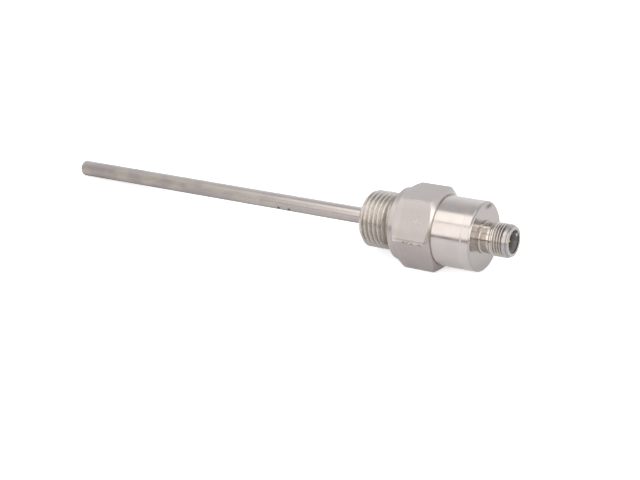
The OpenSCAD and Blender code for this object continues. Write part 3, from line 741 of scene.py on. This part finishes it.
def nickel_finish(finish, spot, x, y, z):
    """Warm bright nickel over turned brass, mottled on the neck, dull in the grooves and darker on
    the foot; painted shade in the grooves on top, atop the foot's edge, on the first turn's crest,
    beneath the thread and at the nose's step."""
    radius = (y * y + z * z) ** 0.5
    before_nose = x.ramp(undercut_x + 0.04, undercut_x + 0.14, 1, 0)
    groove = radius.ramp(plug_crest_r - 0.55, plug_crest_r - 0.15, 1, 0) * before_nose
    groove = groove * x.ramp(plug_front_x - 0.1, plug_front_x + 0.2)
    thread = x.ramp(plug_front_x + 0.8, plug_front_x + 2.3) * before_nose
    # Painted shade in the grooves on top, stronger towards the thread's rear.
    upper = groove * z.ramp(1.5, 4.5, 0, 0.75)
    upper = upper * x.ramp(plug_front_x + 0.8, plug_rear_x - 0.4, 0.15, 1)
    neck = x.ramp(plug_front_x - 0.1, plug_front_x + 1.1, 1, 0)
    neck = neck * radius.ramp(neck_r + 0.05, neck_r + 0.1, 1, 0)
    nose = x.ramp(undercut_x + 0.04, collar_end_x)
    # Painted shade atop the foot's edge and on the first turn's crest.
    foot_edge = x.near(foot_x - 0.15, 0.6) * radius.ramp(neck_r + 0.05, neck_r + 0.12)
    first_crest = x.near(plug_front_x + 0.45, 0.6) * radius.ramp(neck_r + 0.01, neck_r + 0.06)
    cloud = finish.noise(spot, 0.8, 3.0)
    mottle = finish.noise(spot, 0.75, 3.0, 0.6).ramp(0.42, 0.6) * neck
    tint = finish.layers(nickel_tints["bright"], nickel_tints, {
        "dull": cloud.ramp(0.35, 0.65),
        "mottle": mottle * 0.5,
        "thread": thread,
        "grooves": groove,
        # Painted shade in the grooves on top, atop the foot's edge, on the first turn's crest,
        # beneath the thread and at the nose's step.
        "painted shade in the grooves on top": upper,
        "painted shade atop the foot's edge": foot_edge * z.ramp(3.4, 4.4, 0, 0.8),
        "painted shade on the first turn's crest": first_crest * 0.8,
        "painted shade beneath the thread": thread * z.ramp(-1.5, 0, 0.35, 0),
        "foot": x.ramp(foot_x - 0.05, foot_x + 0.05, 0.35, 0),
        "nose": nose,
        "painted shade at the nose's step": x.near(nose_x + 0.03, 0.3) * 0.5,
    })
    rings = finish.noise(finish.vector(x * 10, radius * 10, 0), 1.0, 3.0, 0.7)
    rough = 0.08 + thread * 0.17 + nose * 0.19 + mottle * 0.08 + cloud.ramp(0.3, 0.7, -0.03, 0.04)
    height = rings * 0.0008 + cloud * 0.008
    return {"Base Color": tint, "Roughness": rough, "height": height}


settle(plug, surface("plug_nickel_bright", nickel_finish, metal=1.0), "plug_shell")


# ---- Insert and pins ----------------------------------------------------------------------
# Dark glass-filled plastic cup that carries the four pins, with the A-coding's key on its wall
# and a groove for the O-ring; the pins are turned brass, gilt, with domed tips.
insert_x, insert_r, socket_x, socket_r, insert_end_x = 30.6, 4.67, 34.6, 4.2, 42.5
key_turn, key_half, key_r = math.radians(17.5), math.radians(8.3), 3.5
groove_x, groove_half, groove_r = 32.6, 0.37, 4.0

# The key's flat top is at key_r from the axis, and each of its sides is a step between two columns.
step_half = 0.006
key_side = np.array((key_half - step_half, key_half + step_half))
key_wall = np.linspace(2 * step_half - key_half, key_half - 2 * step_half, 11)
cup_wall = np.linspace(key_half + 2 * step_half, 2 * np.pi - key_half - 2 * step_half, 150)
round_wall = np.concatenate((key_wall, key_side, cup_wall, 2 * np.pi - key_side[::-1]))
off_key = np.minimum(round_wall % (2 * np.pi), 2 * np.pi - round_wall % (2 * np.pi))
wall_r = np.where(off_key < key_half, key_r / np.cos(off_key), socket_r)
insert = skin("insert_moulded", *eased([
    (insert_x, 0, 0), (insert_x, insert_r, 0.1),
    (groove_x - groove_half, insert_r, 0.02), (groove_x - groove_half, groove_r, 0.05),
    (groove_x + groove_half, groove_r, 0.05), (groove_x + groove_half, insert_r, 0.02),
    (insert_end_x, insert_r, 0.05), (insert_end_x, wall_r, 0.05),
    (socket_x, wall_r, 0.15), (socket_x, 0, 0),
]), (round_wall + key_turn)[None, :])

# Where a highlight is painted on the key's end at the rim of the socket.
key_highlight_y, key_highlight_z = 3.62, 1.22
insert_tints = {
    "dark": (0.325, 0.292, 0.315), "pale": (0.38, 0.345, 0.37), "painted shade down the socket": (0.10, 0.085, 0.085),
    "painted key highlight": (0.86, 0.84, 0.85),
}


def insert_finish(finish, spot, x, y, z):
    """Fine moulded grain on dark plastic with a little flow marking, with painted shade down the
    socket and a painted highlight on the key's end at its rim."""
    grain = finish.noise(spot, 14, 2.0)
    flow = finish.noise(finish.vector(x * 0.3, y, z), 0.8, 2.0)
    rim = x.ramp(insert_end_x - 0.6, insert_end_x - 0.2)
    tint = finish.layers(insert_tints["dark"], insert_tints, {
        "pale": flow.ramp(0.35, 0.65),
        # Painted shade down the socket, and a painted highlight on the key's end at the rim.
        "painted shade down the socket": x.ramp(insert_end_x - 3.7, insert_end_x - 0.9, 0.75, 0),
        "painted key highlight": y.near(key_highlight_y, 0.75) * z.near(key_highlight_z, 0.75) * rim,
    })
    return {"Base Color": tint, "Roughness": 0.42 + grain * 0.1, "height": grain * 0.004}


settle(insert, surface("insert_dark", insert_finish), "plug_insert")

pin_end_x, pin_half, pin_shoulder_x, pin_shoulder_r = 40.6, 0.5, 32.0, 0.7
cup_x, cup_floor_x, cup_r = 27.6, 29.6, 0.28
gilt_pale, gilt_deep = (0.93, 0.90, 0.24), (0.86, 0.82, 0.22)


def gilt_finish(finish, spot, x, y, z):
    """Thin gold over nickel, with the faint lines of turning."""
    rings = finish.noise(finish.vector(x * 10, y, z), 1.0, 2.0)
    tint = finish.blend(rings.ramp(0.4, 0.6), gilt_pale, gilt_deep)
    return {"Base Color": tint, "Roughness": 0.2 + rings * 0.06, "height": rings * 0.001}


gilt = surface("pin_gilt_plate", gilt_finish, metal=1.0)
for number in range(1, 5):
    low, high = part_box(f"contact_pin_{number}")
    middle = (low + high) / 2 / MM
    pin = turned(f"pin_gilt_{number}", [
        (cup_floor_x, 0, 0), (cup_floor_x, cup_r, 0.03), (cup_x, cup_r, 0.04),
        (cup_x, pin_shoulder_r, 0.06), (pin_shoulder_x, pin_shoulder_r, 0.06),
        (pin_shoulder_x, pin_half, 0.03), (pin_end_x, pin_half, 0.2), (pin_end_x, 0, 0),
    ], 40, (middle.y, middle.z))
    settle(pin, gilt, f"contact_pin_{number}")


# ---- Inside -------------------------------------------------------------------------------
# What the closed probe hides: the sensor with its leads and crimps in cement, four insulated
# wires through a bush and cast resin, shrink sleeves, O-ring and press ring.
def mottled(low, high, scale, relief, rough):
    """A finish that wanders between two colours, with a grain of its own scale and relief."""
    def make(finish, spot, x, y, z):
        grain = finish.noise(spot, scale, 3.0)
        tint = finish.blend(grain.ramp(0.3, 0.7), low, high)
        return {"Base Color": tint, "Roughness": rough, "height": grain * relief}
    return make


# Name, the two colours, grains a millimetre, relief in millimetres, roughness, whether it is a
# metal, and the nodes that have it.
inner_finishes = [
    ("ceramic_white", (0.82, 0.81, 0.78), (0.88, 0.87, 0.84), 3.0, 0.004, 0.35, 0, ["sensor_chip"]),
    ("lead_bright", (0.6, 0.58, 0.54), (0.66, 0.63, 0.6), 4.0, 0.003, 0.25, 1,
     ["chip_leads", "splice_tube_1", "splice_tube_2"]),
    ("film_amber", (0.5, 0.22, 0.04), (0.6, 0.29, 0.06), 0.8, 0.004, 0.2, 0, ["sensor_sleeve"]),
    ("cement_grey", (0.55, 0.53, 0.49), (0.7, 0.68, 0.63), 2.5, 0.03, 0.8, 0, ["tip_filling"]),
    ("bush_grey", (0.62, 0.62, 0.6), (0.68, 0.68, 0.66), 3.0, 0.004, 0.45, 0, ["guide_bush"]),
    ("resin_dark", (0.02, 0.024, 0.03), (0.035, 0.04, 0.045), 0.6, 0.02, 0.25, 0, ["resin_seal"]),
    ("wire_red_skin", (0.55, 0.03, 0.02), (0.62, 0.05, 0.03), 2.0, 0.004, 0.35, 0,
     ["lead_wire_1", "lead_wire_3"]),
    ("wire_white_skin", (0.8, 0.79, 0.75), (0.86, 0.85, 0.82), 2.0, 0.004, 0.35, 0,
     ["lead_wire_2", "lead_wire_4"]),
    ("shrink_black_skin", (0.012, 0.012, 0.013), (0.02, 0.02, 0.02), 2.0, 0.006, 0.4, 0,
     ["shrink_sleeve_1", "shrink_sleeve_2", "shrink_sleeve_3", "shrink_sleeve_4"]),
    ("rubber_black", (0.015, 0.015, 0.015), (0.028, 0.027, 0.026), 6.0, 0.004, 0.5, 0,
     ["insert_o_ring"]),
    ("brass_turned", (0.68, 0.5, 0.22), (0.74, 0.56, 0.28), 5.0, 0.003, 0.25, 1, ["press_ring"]),
]
for name, low, high, scale, relief, rough, metal, names in inner_finishes:
    finished = surface(name, mottled(low, high, scale, relief, rough), metal)
    for node in names:
        for place in nodes[node].material_slots:
            place.material = finished
        if not nodes[node].material_slots:
            nodes[node].data.materials.append(finished)
